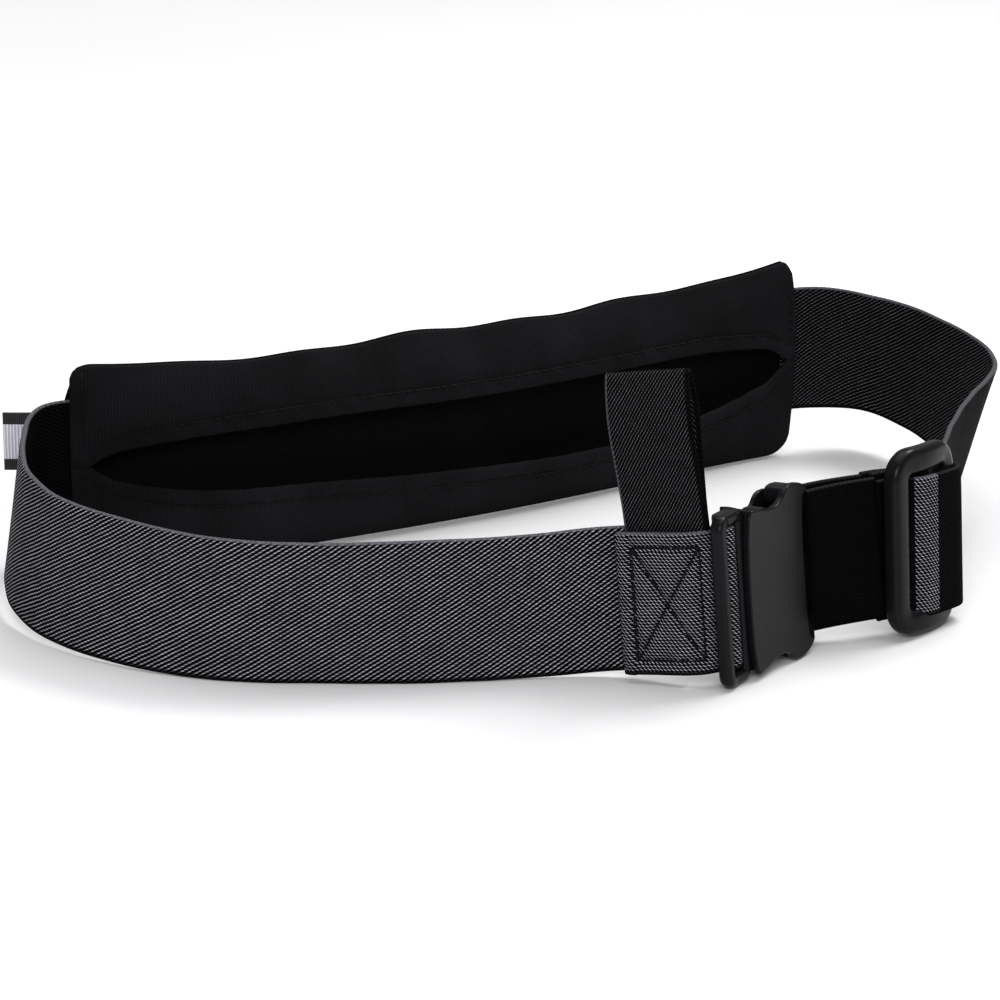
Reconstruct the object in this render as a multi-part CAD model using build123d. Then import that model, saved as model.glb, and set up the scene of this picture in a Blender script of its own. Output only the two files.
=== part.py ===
# Elastic money belt standing on its lower edge: a fabric pouch, 38 mm webbing, a side-release
# buckle, a three-bar slider, a finger loop and a reflective tab.
# Millimetres. The loop is laid out in plan from the front band (y = 0), then moved so that the
# origin is the middle of the footprint, on the surface the belt stands on. +Z is up.
from build123d import *
from math import asin, cos, pi, radians, sin
import os

# Footprint centre, in layout coordinates
CENTRE_X = 2.8
CENTRE_Y = 105.4

# Webbing
WEB_WIDTH = 38.0
WEB_THICK = 1.6
GAP = 0.3                       # clearance between neighbouring pieces
SEAM = 0.12                     # clearance between layers of one body

# Pouch
POUCH_HEIGHT = 58.0
POUCH_FLARE = 4.0               # the upper right corner stands this much higher
POUCH_BULGE = 6.0               # half thickness at the middle
POUCH_END = 3.2                 # half thickness at the sewn ends
PANEL_THICK = 1.2
THREAD = 0.5                    # sewing thread diameter
STITCH_LENGTH = 2.6
STITCH_PITCH = 3.6
HEM = 4.5                       # hem stitching stands this far from each lip

# Finger loop
LOOP_WIDTH = 22.0
LOOP_THICK = 1.0
LOOP_HEIGHT = 37.8              # above the top of the band
LOOP_BELLY = 3.9                # half width of the teardrop
LOOP_TAIL = 10.0                # length sewn in between the band and its fold-back
TAIL_WIDTH = 12.0               # trimmed clear of the buckle bar
TAIL_THICK = 1.6                # two layers pressed together
SWING_ROOM = 1.1                # the tail stops short of the loop's hinge line

# Reflective tab
TAB_LENGTH = 20.0
TAB_HEIGHT = 16.5
TAB_THICK = 0.5
STRIPE_HEIGHT = 10.0
STRIPE_THICK = 0.15

# Buckle: a = along the pull, w = up, n = out of the belt. a = 0 at the outer edge of the male bar.
BUCKLE_HEIGHT = 45.6
RAIL = 3.5                      # rail above and below the webbing
FRAME_BACK = -1.8               # male frame, from back to front
FRAME_FRONT = 3.4
BAR = 3.4                       # outer bar of the male frame
BAR_BACK = 0.3                  # the outer bar is relieved behind, where the webbing passes
WEB_BAR_FROM = 6.6
WEB_BAR_TO = 8.2
WEB_BAR_THICK = 1.8
CROSS_FROM = 10.9               # cross member that carries the prongs and the tongue
MOUTH = 12.9                    # the female shell starts here
SHELL_END = 41.0
PLATE_END = 37.0                # the front plate stops short of the shell's shoulders
SHELL_HALF = 5.5                # half thickness of the shell
SHELL_WALL = 1.8
CAVITY_END = 30.2
SCALLOP_FROM = 14.0             # side openings of the shell
SCALLOP_TO = 30.0
SCALLOP_DEPTH = 4.6
BRIDGE_END = 19.0               # each side wall ends here, and the prong's pad hooks behind it
MOUTH_HALF = 17.6
PRONG_ROOT = 14.0               # inner edge of each prong arm, from the middle
PRONG_ARM = 2.4
PRONG_HALF = 2.6                # half thickness of a prong
PRONG_TIP = 28.5
PAD_RISE = 19.6                 # height of a prong's pad, from the middle
PRONG_SWING = 12.0              # degrees
TONGUE_HALF = 5.0
TONGUE_TIP = 28.0
STRAP_BAR_A = 35.4              # bar of the female shell
STRAP_BAR_R = 1.6

# Slider, on the same kind of axes; a = 0 at the edge nearest the buckle
SLIDER_LENGTH = 28.5
SLIDER_HEIGHT = 50.0
SLIDER_BAR = 5.0
SLIDER_RAIL = 5.2
SLIDER_CORNER = 7.0
SLIDER_CROWN = 2.2              # how far the rails arch outward
SLIDER_THICK = 4.6
CENTRE_BAR = 3.0

# Hardware positions in layout coordinates: heading in degrees from +X, lean = how far the top
# is tipped inward (away from n), pitch = how far it is tipped back along a
BUCKLE_AT = (53.6, -4.9)
BUCKLE_MIDDLE = 22.9
BUCKLE_HEADING = 56.0
BUCKLE_LEAN = 4.5
BUCKLE_PITCH = 1.0
SLIDER_AT = (101.5, 33.8)
SLIDER_MIDDLE = 26.1
SLIDER_HEADING = 52.0
SLIDER_LEAN = 4.9
SLIDER_PITCH = -3.0

# Webbing routes: x, y, mid height, then how far the top edge stands from the bottom edge in plan
FRONT_BAND = [
    (-111.0, 101.6, 28.4, 0.0, 0.0),
    (-117.5, 101.4, 28.2, 0.0, 0.0),
    (-124.4, 99.6, 27.6, 1.0, 0.0),
    (-129.2, 93.0, 26.6, 3.0, 0.5),
    (-131.3, 82.0, 25.5, 4.5, 0.5),
    (-131.2, 70.0, 24.3, 5.5, 0.5),
    (-129.5, 58.5, 23.0, 5.5, 1.0),
    (-126.4, 49.0, 22.0, 5.5, 2.0),
    (-121.3, 39.5, 20.8, 5.0, 3.5),
    (-113.5, 30.0, 20.0, 4.5, 5.0),
    (-102.0, 20.4, 19.4, 3.0, 6.0),
    (-86.0, 9.6, 19.1, 1.5, 4.0),
    (-68.0, 2.4, 18.9, 0.0, 1.0),
    (-50.0, 0.2, 18.9, 0.0, -1.0),
    (-25.0, 0.6, 18.9, 0.0, 0.5),
    (-5.0, 2.9, 18.9, 0.0, 2.0),
    (15.0, 6.6, 19.5, 0.0, 3.0),
    (27.0, 7.6, 20.4, 0.0, 3.6),
    (37.0, 6.0, 21.4, -0.5, 3.2),
    (43.0, 3.7, 22.2, -1.0, 3.0),
    (47.6, 1.5, 22.6, -1.4, 2.6),
]
RIGHT_BAND = [
    (82.0, 205.8, 33.0, 0.0, 0.0),
    (87.4, 209.3, 33.0, 0.0, 0.0),
    (97.0, 213.8, 32.2, 0.0, -1.0),
    (109.5, 214.2, 30.8, -1.0, -5.0),
    (120.5, 205.5, 29.5, 0.0, -1.0),
    (129.5, 189.0, 28.5, 3.0, 2.0),
    (135.5, 171.5, 27.8, 7.0, 3.0),
    (137.6, 155.0, 27.2, 10.0, 1.0),
    (134.0, 134.0, 26.7, 9.0, -1.0),
    (127.0, 108.0, 26.2, 5.0, 0.0),
    (122.0, 86.0, 25.6, 2.0, 0.0),
    (119.6, 70.0, 25.3, -0.5, 2.0),
    (118.3, 62.6, 25.1, -1.0, 3.0),
]
# The strap doubles back round the female bar, between the shell and the slider
STRAP_FRONT = [
    (78.3, 29.5, 22.9, -2.4, 2.4),
    (84.0, 32.2, 23.5, -1.6, 3.8),
    (91.0, 34.6, 24.2, -1.0, 4.6),
    (98.0, 36.7, 24.9, -1.0, 4.2),
]
STRAP_REAR = [
    (74.0, 32.6, 22.9, -2.4, 2.4),
    (81.0, 35.8, 23.5, -1.6, 3.8),
    (88.5, 38.0, 24.2, -1.0, 4.6),
    (93.6, 39.2, 24.9, -1.0, 4.3),
]
POUCH_PATH = [
    (-117.0, 101.5),
    (-96.0, 102.6),
    (-74.0, 107.4),
    (-51.0, 118.8),
    (-28.0, 132.0),
    (0.0, 149.0),
    (29.0, 169.0),
    (58.0, 190.0),
    (87.0, 209.0),
]
# Lips of the mouth, one height for each point of the pouch path
UPPER_LIP = [30.5, 36.5, 38.5, 38.5, 38.0, 38.0, 38.0, 37.5, 34.0]
LOWER_LIP = [27.0, 21.8, 20.4, 18.4, 16.8, 15.6, 16.2, 20.0, 28.5]

TAB_AT = (-117.8, 103.7, 36.2)
LOOP_AT = (41.2, 2.6, 44.0)
LOOP_HEADING = -16.0
LOOP_TILT = 7.8                 # leans toward the pouch's left end
BOX_HALF_X = 8.6
BOX_HALF_Z = 14.2
BOX_FROM_HEM = 3.8              # box stitching, from the end of the fold-back
SEWN_STITCH_AT = [(6.3, -8.5), (3.6, -9.7)]

os.makedirs("parts", exist_ok=True)


def at(x, y, z):
    """A layout point in the part's own frame."""
    return Vector(x - CENTRE_X, y - CENTRE_Y, z)


def save(name, shape):
    export_step(shape, "parts/" + name + ".step")


def hardware_plane(place, middle, heading, lean, pitch):
    """Local x = along the pull, y = up, z = outward, from the middle of the height."""
    along = Vector(cos(radians(heading)), sin(radians(heading)), 0)
    outward = Vector(sin(radians(heading)), -cos(radians(heading)), 0)
    up = Vector(0, 0, 1) - outward * sin(radians(lean)) - along * sin(radians(pitch))
    up = up.normalized()
    outward = (outward - up * outward.dot(up)).normalized()
    along = up.cross(outward)
    return Plane(origin=at(place[0], place[1], middle), x_dir=along, z_dir=outward)


def box_of(plane, a, w, n):
    """A box between two values on each local axis: along, up and outward."""
    size = (a[1] - a[0], w[1] - w[0], n[1] - n[0])
    middle = Location(((a[0] + a[1]) / 2, (w[0] + w[1]) / 2, (n[0] + n[1]) / 2))
    return plane * middle * Box(*size)


def tangents(points):
    """Direction of a smooth line at each of its points."""
    line = Spline(*points)
    return [line.tangent_at(line.param_at_point(Vector(point))) for point in points]


def ribbon(stations, width, thick):
    """Webbing that follows stations of x, y, mid height and top edge offset."""
    points = [at(x, y, z) for x, y, z, tip_x, tip_y in stations]
    sections = []
    for point, along, station in zip(points, tangents(points), stations):
        tip = Vector(station[3], station[4], 0)
        rise = cos(asin(tip.length / width))
        up = (tip * (1 / width) + Vector(0, 0, rise)).normalized()
        side = along.cross(up).normalized()
        plane = Plane(origin=point, x_dir=side, z_dir=side.cross(up))
        sections.append(plane * Rectangle(thick, width))
    return loft(sections)


def blend_between(values, share):
    """Linear reading of a list at a share of its length."""
    place = share * (len(values) - 1)
    low = min(int(place), len(values) - 2)
    return values[low] + (values[low + 1] - values[low]) * (place - low)


def strip_face(plane, points, thick):
    """A strip of constant thickness round a smooth middle line drawn in a plane."""
    middle = Spline(*points)
    near = []
    far = []
    for point in points:
        along = middle.tangent_at(middle.param_at_point(Vector(*point)))
        side = Vector(-along.Y, along.X, 0).normalized() * (thick / 2)
        near.append(Vector(*point) + side)
        far.append(Vector(*point) - side)
    upper = Spline(*near)
    lower = Spline(*far)
    caps = [Line(near[0], far[0]), Line(near[-1], far[-1])]
    return plane * make_face([upper, lower] + caps)


# ---------------------------------------------------------------- pouch

def pouch_bulge(share):
    """Half thickness of the pouch: flat at its sewn ends."""
    return POUCH_END + (POUCH_BULGE - POUCH_END) * sin(pi * share) ** 0.6


def pouch_top(share):
    """Height of the pouch; its right end flares upward."""
    return POUCH_HEIGHT + POUCH_FLARE * max(0.0, (share - 0.8) / 0.2) ** 2


def back_profile(share):
    bulge = pouch_bulge(share)
    top = pouch_top(share)
    shape = [(0.75, 0.8), (bulge * 0.85, top * 0.25), (bulge, top * 0.5)]
    shape += [(bulge * 0.8, top * 0.8), (0.75, top - 0.8)]
    return [(-n, z) for n, z in shape]


def upper_profile(share):
    bulge = pouch_bulge(share)
    top = pouch_top(share)
    lip = blend_between(UPPER_LIP, share)
    return [(0.75, top - 0.8), (bulge * 0.85, top * 0.82), (bulge, lip)]


def lower_profile(share):
    bulge = pouch_bulge(share)
    lip = blend_between(LOWER_LIP, share)
    return [(0.75, 0.8), (bulge * 0.8, lip * 0.5), (bulge * 0.95, lip)]


def pouch_planes():
    """Planes across the pouch at its path points: x = toward the mouth, y = up."""
    points = [at(x, y, 0) for x, y in POUCH_PATH]
    planes = []
    for point, along in zip(points, tangents(points)):
        outward = Vector(along.Y, -along.X, 0)
        planes.append(Plane(origin=point, x_dir=outward, z_dir=outward.cross(Vector(0, 0, 1))))
    return planes


def pouch_panel(profile):
    planes = pouch_planes()
    last = len(planes) - 1
    sections = [strip_face(plane, profile(i / last), PANEL_THICK) for i, plane in enumerate(planes)]
    return loft(sections)


def hem_stitches(profile, step):
    """A row of stitches a hem's width from a lip, on the outside of a panel."""
    line = Spline(*[at(x, y, 0) for x, y in POUCH_PATH])
    count = int(line.length / STITCH_PITCH) - 4
    stitches = []
    for i in range(2, count + 2):
        share = i * STITCH_PITCH / line.length
        point = line.position_at(share)
        along = line.tangent_at(share)
        outward = Vector(along.Y, -along.X, 0)
        edge = profile(share)[-1]
        n = edge[0] + PANEL_THICK / 2 + THREAD / 2 + 3 * GAP
        place = point + outward * n + Vector(0, 0, edge[1] + step)
        plane = Plane(origin=place, x_dir=along, z_dir=outward)
        stitches.append(plane * Box(STITCH_LENGTH, THREAD, THREAD))
    return Compound(children=stitches)


def end_stitches(index, inset, low, high):
    """A column of stitches that closes an end of the pouch over the band."""
    plane = pouch_planes()[index]
    n = POUCH_END + PANEL_THICK / 2 + THREAD + GAP
    stitches = []
    count = int((high - low) / STITCH_PITCH)
    for i in range(count):
        z = low + (i + 0.5) * (high - low) / count
        stitches.append(plane * Location((n, z, inset)) * Box(THREAD, STITCH_LENGTH, THREAD))
    return Compound(children=stitches)


save("pouch_back_panel", pouch_panel(back_profile))
save("pouch_upper_panel", pouch_panel(upper_profile))
save("pouch_lower_panel", pouch_panel(lower_profile))
save("upper_hem_stitching", hem_stitches(upper_profile, HEM))
save("lower_hem_stitching", hem_stitches(lower_profile, -HEM))
save("left_end_stitching", end_stitches(0, -2.0, 33.0, 56.0))
save("right_end_stitching", end_stitches(-1, 2.0, 36.0, 60.0))

# ---------------------------------------------------------------- bands and strap

front_band = ribbon(FRONT_BAND, WEB_WIDTH, WEB_THICK)
below_floor = Location((0, 0, -10)) * Box(400, 400, 20)
save("front_band", front_band - below_floor)
save("right_band", ribbon(RIGHT_BAND, WEB_WIDTH, WEB_THICK))
save("strap_front_layer", ribbon(STRAP_FRONT, WEB_WIDTH, WEB_THICK))
save("strap_rear_layer", ribbon(STRAP_REAR, WEB_WIDTH, WEB_THICK))

# ---------------------------------------------------------------- buckle

buckle = hardware_plane(BUCKLE_AT, BUCKLE_MIDDLE, BUCKLE_HEADING, BUCKLE_LEAN, BUCKLE_PITCH)
HALF = BUCKLE_HEIGHT / 2
INNER = HALF - RAIL


def rounded_plate(a, half, n, corner):
    """A plate in the along-up plane with rounded corners."""
    sheet = RectangleRounded(a[1] - a[0], 2 * half, corner)
    plate = extrude(sheet, n[1] - n[0])
    return Location(((a[0] + a[1]) / 2, 0, n[0])) * plate


def make_male_frame():
    plate = rounded_plate((0, MOUTH - SEAM), HALF, (FRAME_BACK, FRAME_FRONT), 2.2)
    plate = fillet(plate.faces().filter_by(Axis.Z).edges(), 0.7)
    window = box_of(Plane.XY, (BAR, CROSS_FROM), (-INNER, INNER), (-9, 9))
    behind_bar = box_of(Plane.XY, (-1, BAR), (-INNER, INNER), (-9, BAR_BACK))
    web_bar = box_of(Plane.XY, (WEB_BAR_FROM, WEB_BAR_TO), (-INNER, INNER),
                     (-WEB_BAR_THICK / 2, WEB_BAR_THICK / 2))
    tongue = box_of(Plane.XY, (MOUTH - 1, TONGUE_TIP), (-TONGUE_HALF, TONGUE_HALF), (-1.6, 1.6))
    tongue = fillet(tongue.edges().filter_by(Axis.Z).group_by(Axis.X)[-1], 3.0)
    return plate - window - behind_bar + web_bar + tongue


def make_prong():
    """The upper prong: an arm that flexes and a pad that shows in the shell's side opening."""
    arm = box_of(Plane.XY, (MOUTH + GAP, PRONG_TIP), (PRONG_ROOT, PRONG_ROOT + PRONG_ARM),
                 (-PRONG_HALF, PRONG_HALF))
    crown = [
        (BRIDGE_END + GAP, PRONG_ROOT + 1.0),
        (BRIDGE_END + GAP, PAD_RISE - 0.8),
        (BRIDGE_END + 3.0, PAD_RISE),
        (BRIDGE_END + 5.5, PAD_RISE - 0.2),
        (PRONG_TIP - 0.6, PRONG_ROOT + PRONG_ARM),
        (PRONG_TIP - 0.6, PRONG_ROOT + 1.0),
    ]
    pad = extrude(make_face(Polyline(*crown, close=True)), PRONG_HALF, both=True)
    return arm + pad


def make_shell():
    plate = rounded_plate((MOUTH, SHELL_END), HALF, (-SHELL_HALF, SHELL_HALF), 0.8)
    inside = (SHELL_WALL - SHELL_HALF, SHELL_HALF - SHELL_WALL)
    throat = box_of(Plane.XY, (MOUTH - 1, CAVITY_END), (-MOUTH_HALF, MOUTH_HALF), inside)
    windows = box_of(Plane.XY, (BRIDGE_END, CAVITY_END), (-HALF - 1, HALF + 1), inside)
    chord = (SCALLOP_TO - SCALLOP_FROM) / 2
    radius = (chord ** 2 + SCALLOP_DEPTH ** 2) / (2 * SCALLOP_DEPTH)
    scallop = Cylinder(radius, 4 * SHELL_HALF)
    middle = (SCALLOP_FROM + SCALLOP_TO) / 2
    reach = HALF - SCALLOP_DEPTH + radius
    scallops = Location((middle, reach, 0)) * scallop + Location((middle, -reach, 0)) * scallop
    strap_room = box_of(Plane.XY, (CAVITY_END + 1.2, SHELL_END + 1), (-INNER, INNER),
                        (-9, SHELL_HALF - SHELL_WALL))
    plate_edge = box_of(Plane.XY, (PLATE_END, SHELL_END + 1), (-INNER, INNER), (-9, 9))
    bar = Location((STRAP_BAR_A, 0, 0)) * Rotation(90, 0, 0) * Cylinder(STRAP_BAR_R, 2 * INNER + 1)
    return plate - throat - windows - scallops - strap_room - plate_edge + bar


male_frame = buckle * make_male_frame()
upper_prong = buckle * make_prong()
lower_prong = buckle * mirror(make_prong(), about=Plane.XZ)
shell = buckle * make_shell()

# The end of the front band passes behind the outer bar, turns round the web bar, and its
# hemmed end is sewn down over the band
FOLD_BACK = [
    (-6.9, -24.4),
    (-5.7, -19.3),
    (-4.1, -14.5),
    (-2.8, -9.8),
    (-1.4, -6.3),
    (1.1, -2.9),
    (3.4, -1.0),
    (4.9, 0.9),
    (6.4, 2.0),
    (7.9, 2.1),
    (9.2, 1.2),
    (9.6, -0.2),
    (9.0, -1.5),
    (7.4, -2.3),
    (5.2, -2.9),
    (3.3, -4.2),
    (1.8, -6.2),
]
# The strap turns round the female bar, and both layers leave between the shell's shoulders
STRAP_TURN = [
    (41.2, 0.4),
    (39.0, 1.6),
    (37.0, 2.5),
    (35.2, 2.6),
    (33.4, 1.7),
    (32.8, 0.0),
    (33.4, -1.7),
    (35.2, -2.6),
    (37.2, -3.1),
    (39.0, -3.8),
    (41.2, -5.0),
]


def web_in(plane, line):
    """Webbing drawn in a hardware plane, as along and outward, centred on its height."""
    face = strip_face(Plane.XZ, line, WEB_THICK)
    return plane * Location((0, WEB_WIDTH / 2, 0)) * extrude(face, WEB_WIDTH)


save("male_frame", male_frame)
save("upper_prong", upper_prong)
save("lower_prong", lower_prong)
save("female_shell", shell)
save("band_fold_back", web_in(buckle, FOLD_BACK))
save("strap_turn", web_in(buckle, STRAP_TURN))


def box_stitches():
    """A sewn square with a cross in it, on the outside of the fold-back."""
    corners = [(-BOX_HALF_X, -BOX_HALF_Z), (BOX_HALF_X, -BOX_HALF_Z)]
    corners += [(BOX_HALF_X, BOX_HALF_Z), (-BOX_HALF_X, BOX_HALF_Z)]
    sides = list(zip(corners, corners[1:] + corners[:1]))
    runs = sides + [(corners[0], corners[2]), (corners[1], corners[3])]
    flap = Spline(*FOLD_BACK)
    rise = WEB_THICK / 2 + THREAD / 2 + GAP
    stitches = []
    for start, end in runs:
        line = Line(start, end)
        count = int(line.length / STITCH_PITCH)
        angle = line.tangent_at(0).get_signed_angle(Vector(1, 0, 0), Vector(0, 0, -1))
        for i in range(count):
            spot = line.position_at((i + 0.5) / count)
            share = (BOX_FROM_HEM + BOX_HALF_X + spot.X) / flap.length
            place = flap.position_at(share)
            step = flap.tangent_at(share)
            along = buckle.x_dir * step.X + buckle.z_dir * step.Y
            outward = buckle.z_dir * step.X - buckle.x_dir * step.Y
            middle = buckle.from_local_coords(Vector(place.X, spot.Y, place.Y)) + outward * rise
            plane = Plane(origin=middle, x_dir=along, z_dir=outward)
            stitches.append(plane * Rotation(0, 0, angle) * Box(STITCH_LENGTH, THREAD, THREAD))
    return Compound(children=stitches)


save("box_stitching", box_stitches())

# ---------------------------------------------------------------- finger loop

loop_heading = radians(LOOP_HEADING)
loop_along = Vector(cos(loop_heading), sin(loop_heading), 0)
loop_outward = Vector(sin(loop_heading), -cos(loop_heading), 0)
loop_up = (Vector(0, 0, 1) - loop_along * sin(radians(LOOP_TILT))).normalized()
# x = outward, y = up, extruded along the width
loop_plane = Plane(origin=at(*LOOP_AT), x_dir=loop_outward, z_dir=loop_outward.cross(loop_up))
half_gap = LOOP_THICK / 2 + 0.06
LOOP_SHAPE = [
    (-half_gap, 0.2),
    (-LOOP_BELLY * 0.5, LOOP_HEIGHT * 0.3),
    (-LOOP_BELLY, LOOP_HEIGHT * 0.62),
    (-LOOP_BELLY * 0.7, LOOP_HEIGHT * 0.88),
    (0.0, LOOP_HEIGHT),
    (LOOP_BELLY * 0.7, LOOP_HEIGHT * 0.88),
    (LOOP_BELLY, LOOP_HEIGHT * 0.62),
    (LOOP_BELLY * 0.5, LOOP_HEIGHT * 0.3),
    (half_gap, 0.2),
]
finger_loop = extrude(strip_face(loop_plane, LOOP_SHAPE, LOOP_THICK), LOOP_WIDTH / 2, both=True)
tail = Box(TAIL_THICK, LOOP_TAIL, TAIL_WIDTH)
tail_shift = (LOOP_WIDTH - TAIL_WIDTH) / 2
save("finger_loop", finger_loop)
save("loop_tail", loop_plane * Location((0, -LOOP_TAIL / 2 - SWING_ROOM, tail_shift)) * tail)

# ---------------------------------------------------------------- slider

slider = hardware_plane(SLIDER_AT, SLIDER_MIDDLE, SLIDER_HEADING, SLIDER_LEAN, SLIDER_PITCH)
SLIDER_INNER = SLIDER_HEIGHT / 2 - SLIDER_RAIL


def make_slider():
    """A frame whose rails arch outward, with a bar at each end and one in the middle."""
    half = SLIDER_HEIGHT / 2
    arch = [(0, 0), (SLIDER_LENGTH / 2, SLIDER_CROWN), (SLIDER_LENGTH, 0)]
    face = strip_face(Plane.XZ, arch, SLIDER_THICK)
    plate = Location((0, half, 0)) * extrude(face, SLIDER_HEIGHT)
    outline = RectangleRounded(SLIDER_LENGTH, SLIDER_HEIGHT, SLIDER_CORNER)
    prism = Location((SLIDER_LENGTH / 2, 0, 0)) * extrude(outline, 12, both=True)
    window = box_of(Plane.XY, (SLIDER_BAR, SLIDER_LENGTH - SLIDER_BAR),
                    (-SLIDER_INNER, SLIDER_INNER), (-9, 9))
    middle = SLIDER_LENGTH / 2
    centre_bar = box_of(Plane.XY, (middle - CENTRE_BAR / 2, middle + CENTRE_BAR / 2),
                        (-SLIDER_INNER - 1, SLIDER_INNER + 1), (-0.9, 0.9))
    return (plate & prism) - window + centre_bar


# The strap's fixed end is sewn round the centre bar; the running part passes over it and
# round the far bar
SEWN_END = [
    (1.2, -6.0),
    (5.0, -4.9),
    (8.6, -1.6),
    (11.4, 1.3),
    (14.2, 2.1),
    (16.8, 1.4),
    (17.6, 0.0),
    (16.6, -1.6),
    (14.0, -2.4),
    (10.0, -4.2),
    (5.6, -7.3),
    (1.2, -8.9),
]
RUNNING_WEB = [
    (1.0, -4.0),
    (4.6, -3.0),
    (7.8, 0.2),
    (10.8, 3.4),
    (14.4, 4.5),
    (19.0, 4.7),
    (24.2, 4.8),
    (28.4, 4.2),
    (30.9, 2.0),
    (31.5, -0.7),
    (31.6, -3.4),
]
save("slider_frame", slider * make_slider())
save("sewn_end", web_in(slider, SEWN_END))
save("strap_over_slider", web_in(slider, RUNNING_WEB))


def sewn_end_stitches():
    stitches = []
    count = int((WEB_WIDTH - 6) / STITCH_PITCH)
    for a, n in SEWN_STITCH_AT:
        for i in range(count):
            w = (i + 0.5) / count * (WEB_WIDTH - 6) - (WEB_WIDTH - 6) / 2
            stitches.append(slider * Location((a, w, n)) * Box(THREAD, STITCH_LENGTH, THREAD))
    return Compound(children=stitches)


save("sewn_end_stitching", sewn_end_stitches())

# ---------------------------------------------------------------- reflective tab

tab_plane = Plane(origin=at(*TAB_AT), x_dir=(-1, 0, 0), z_dir=(0, 1, 0))
tab = box_of(tab_plane, (0, TAB_LENGTH), (-TAB_HEIGHT / 2, TAB_HEIGHT / 2),
             (-TAB_THICK, TAB_THICK))
stripe = box_of(tab_plane, (0.4, TAB_LENGTH), (-STRIPE_HEIGHT / 2, STRIPE_HEIGHT / 2),
                (TAB_THICK, TAB_THICK + STRIPE_THICK))
stripes = stripe + mirror(stripe, about=Plane(origin=tab_plane.origin, z_dir=tab_plane.z_dir))
save("reflective_tab", tab)
save("reflective_stripe", stripes)
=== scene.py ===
"""The looks of an elastic money belt: woven webbing, a knit pouch, moulded plastic and sewing thread."""

from math import cos, pi, radians, sin

import bpy
import numpy as np
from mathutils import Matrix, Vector


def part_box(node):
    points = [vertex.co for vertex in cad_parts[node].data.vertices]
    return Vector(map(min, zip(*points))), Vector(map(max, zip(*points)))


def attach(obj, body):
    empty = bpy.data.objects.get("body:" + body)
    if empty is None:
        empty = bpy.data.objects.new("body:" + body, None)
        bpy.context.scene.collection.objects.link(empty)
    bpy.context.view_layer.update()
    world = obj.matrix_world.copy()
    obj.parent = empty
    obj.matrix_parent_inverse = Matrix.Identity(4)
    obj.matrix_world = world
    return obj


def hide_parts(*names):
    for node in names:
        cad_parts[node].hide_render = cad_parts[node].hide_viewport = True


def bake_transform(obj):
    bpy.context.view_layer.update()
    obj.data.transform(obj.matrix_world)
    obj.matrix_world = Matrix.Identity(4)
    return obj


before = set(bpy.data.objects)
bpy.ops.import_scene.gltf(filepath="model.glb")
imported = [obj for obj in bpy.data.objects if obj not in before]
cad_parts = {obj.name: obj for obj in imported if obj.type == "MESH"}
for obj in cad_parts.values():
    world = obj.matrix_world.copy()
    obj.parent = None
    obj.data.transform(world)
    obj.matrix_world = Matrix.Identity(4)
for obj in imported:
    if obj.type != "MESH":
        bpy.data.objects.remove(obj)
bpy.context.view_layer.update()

MM = 0.001

# Layout of the belt, in millimetres: the CAD part's routes, with a few ends moved to meet their
# neighbours, and the front band raised to stand on the floor
CENTRE = (2.8, 105.4)
WEB_WIDTH = 38.0
WEB_THICK = 1.6
POUCH_HEIGHT = 58.0
POUCH_FLARE = 4.0
POUCH_BULGE = 6.0
POUCH_END = 3.2
PANEL_THICK = 1.2
HEM = 4.5
LOOP_WIDTH = 22.0
LOOP_THICK = 1.0
LOOP_HEIGHT = 37.8
LOOP_BELLY = 3.9

# x, y, mid height, then how far the top edge stands from the bottom edge in plan
FRONT_BAND = [
    (-114.5, 101.5, 28.3, 0.0, 0.0),
    (-117.5, 101.4, 28.2, 0.0, 0.0),
    (-124.4, 99.6, 27.6, 1.0, 0.0),
    (-129.2, 93.0, 26.6, 3.0, 0.5),
    (-131.3, 82.0, 25.5, 4.5, 0.5),
    (-131.2, 70.0, 24.3, 5.5, 0.5),
    (-129.5, 58.5, 23.0, 5.5, 1.0),
    (-126.4, 49.0, 22.0, 5.5, 2.0),
    (-121.3, 39.5, 20.8, 5.0, 3.5),
    (-113.5, 30.0, 20.0, 4.5, 5.0),
    (-102.0, 20.4, 19.4, 3.0, 6.0),
    (-86.0, 9.6, 19.1, 1.5, 4.0),
    (-68.0, 2.4, 19.05, 0.0, 1.0),
    (-50.0, 0.2, 19.05, 0.0, -1.0),
    (-25.0, 0.6, 19.05, 0.0, 0.5),
    (-5.0, 2.9, 19.1, 0.0, 2.0),
    (15.0, 6.6, 19.5, 0.0, 3.0),
    (27.0, 7.6, 20.4, 0.0, 3.6),
    (37.0, 6.0, 21.4, -0.5, 3.2),
    (43.0, 3.7, 22.2, -1.0, 3.0),
    (47.6, 1.5, 22.6, -1.4, 2.6),
]
RIGHT_BAND = [
    (84.4, 207.4, 33.0, 0.0, 0.0),
    (87.4, 209.3, 33.0, 0.0, 0.0),
    (97.0, 213.8, 32.2, 0.0, -1.0),
    (109.5, 214.2, 30.8, -1.0, -5.0),
    (120.5, 205.5, 29.5, 0.0, -1.0),
    (129.5, 189.0, 28.5, 3.0, 2.0),
    (135.5, 171.5, 27.8, 7.0, 3.0),
    (137.6, 155.0, 27.2, 10.0, 1.0),
    (134.0, 134.0, 26.7, 9.0, -1.0),
    (127.0, 108.0, 26.2, 5.0, 0.0),
    (122.0, 86.0, 25.6, 2.0, 0.0),
    (119.6, 70.0, 25.3, -0.5, 2.0),
    (118.3, 62.6, 25.1, -1.0, 3.0),
]
STRAP_FRONT = [
    (78.3, 29.5, 22.9, -2.4, 2.4),
    (84.0, 32.2, 23.5, -1.6, 3.8),
    (91.0, 34.6, 24.2, -1.0, 4.6),
    (99.6, 37.1, 24.9, -1.0, 4.2),
]
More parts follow.
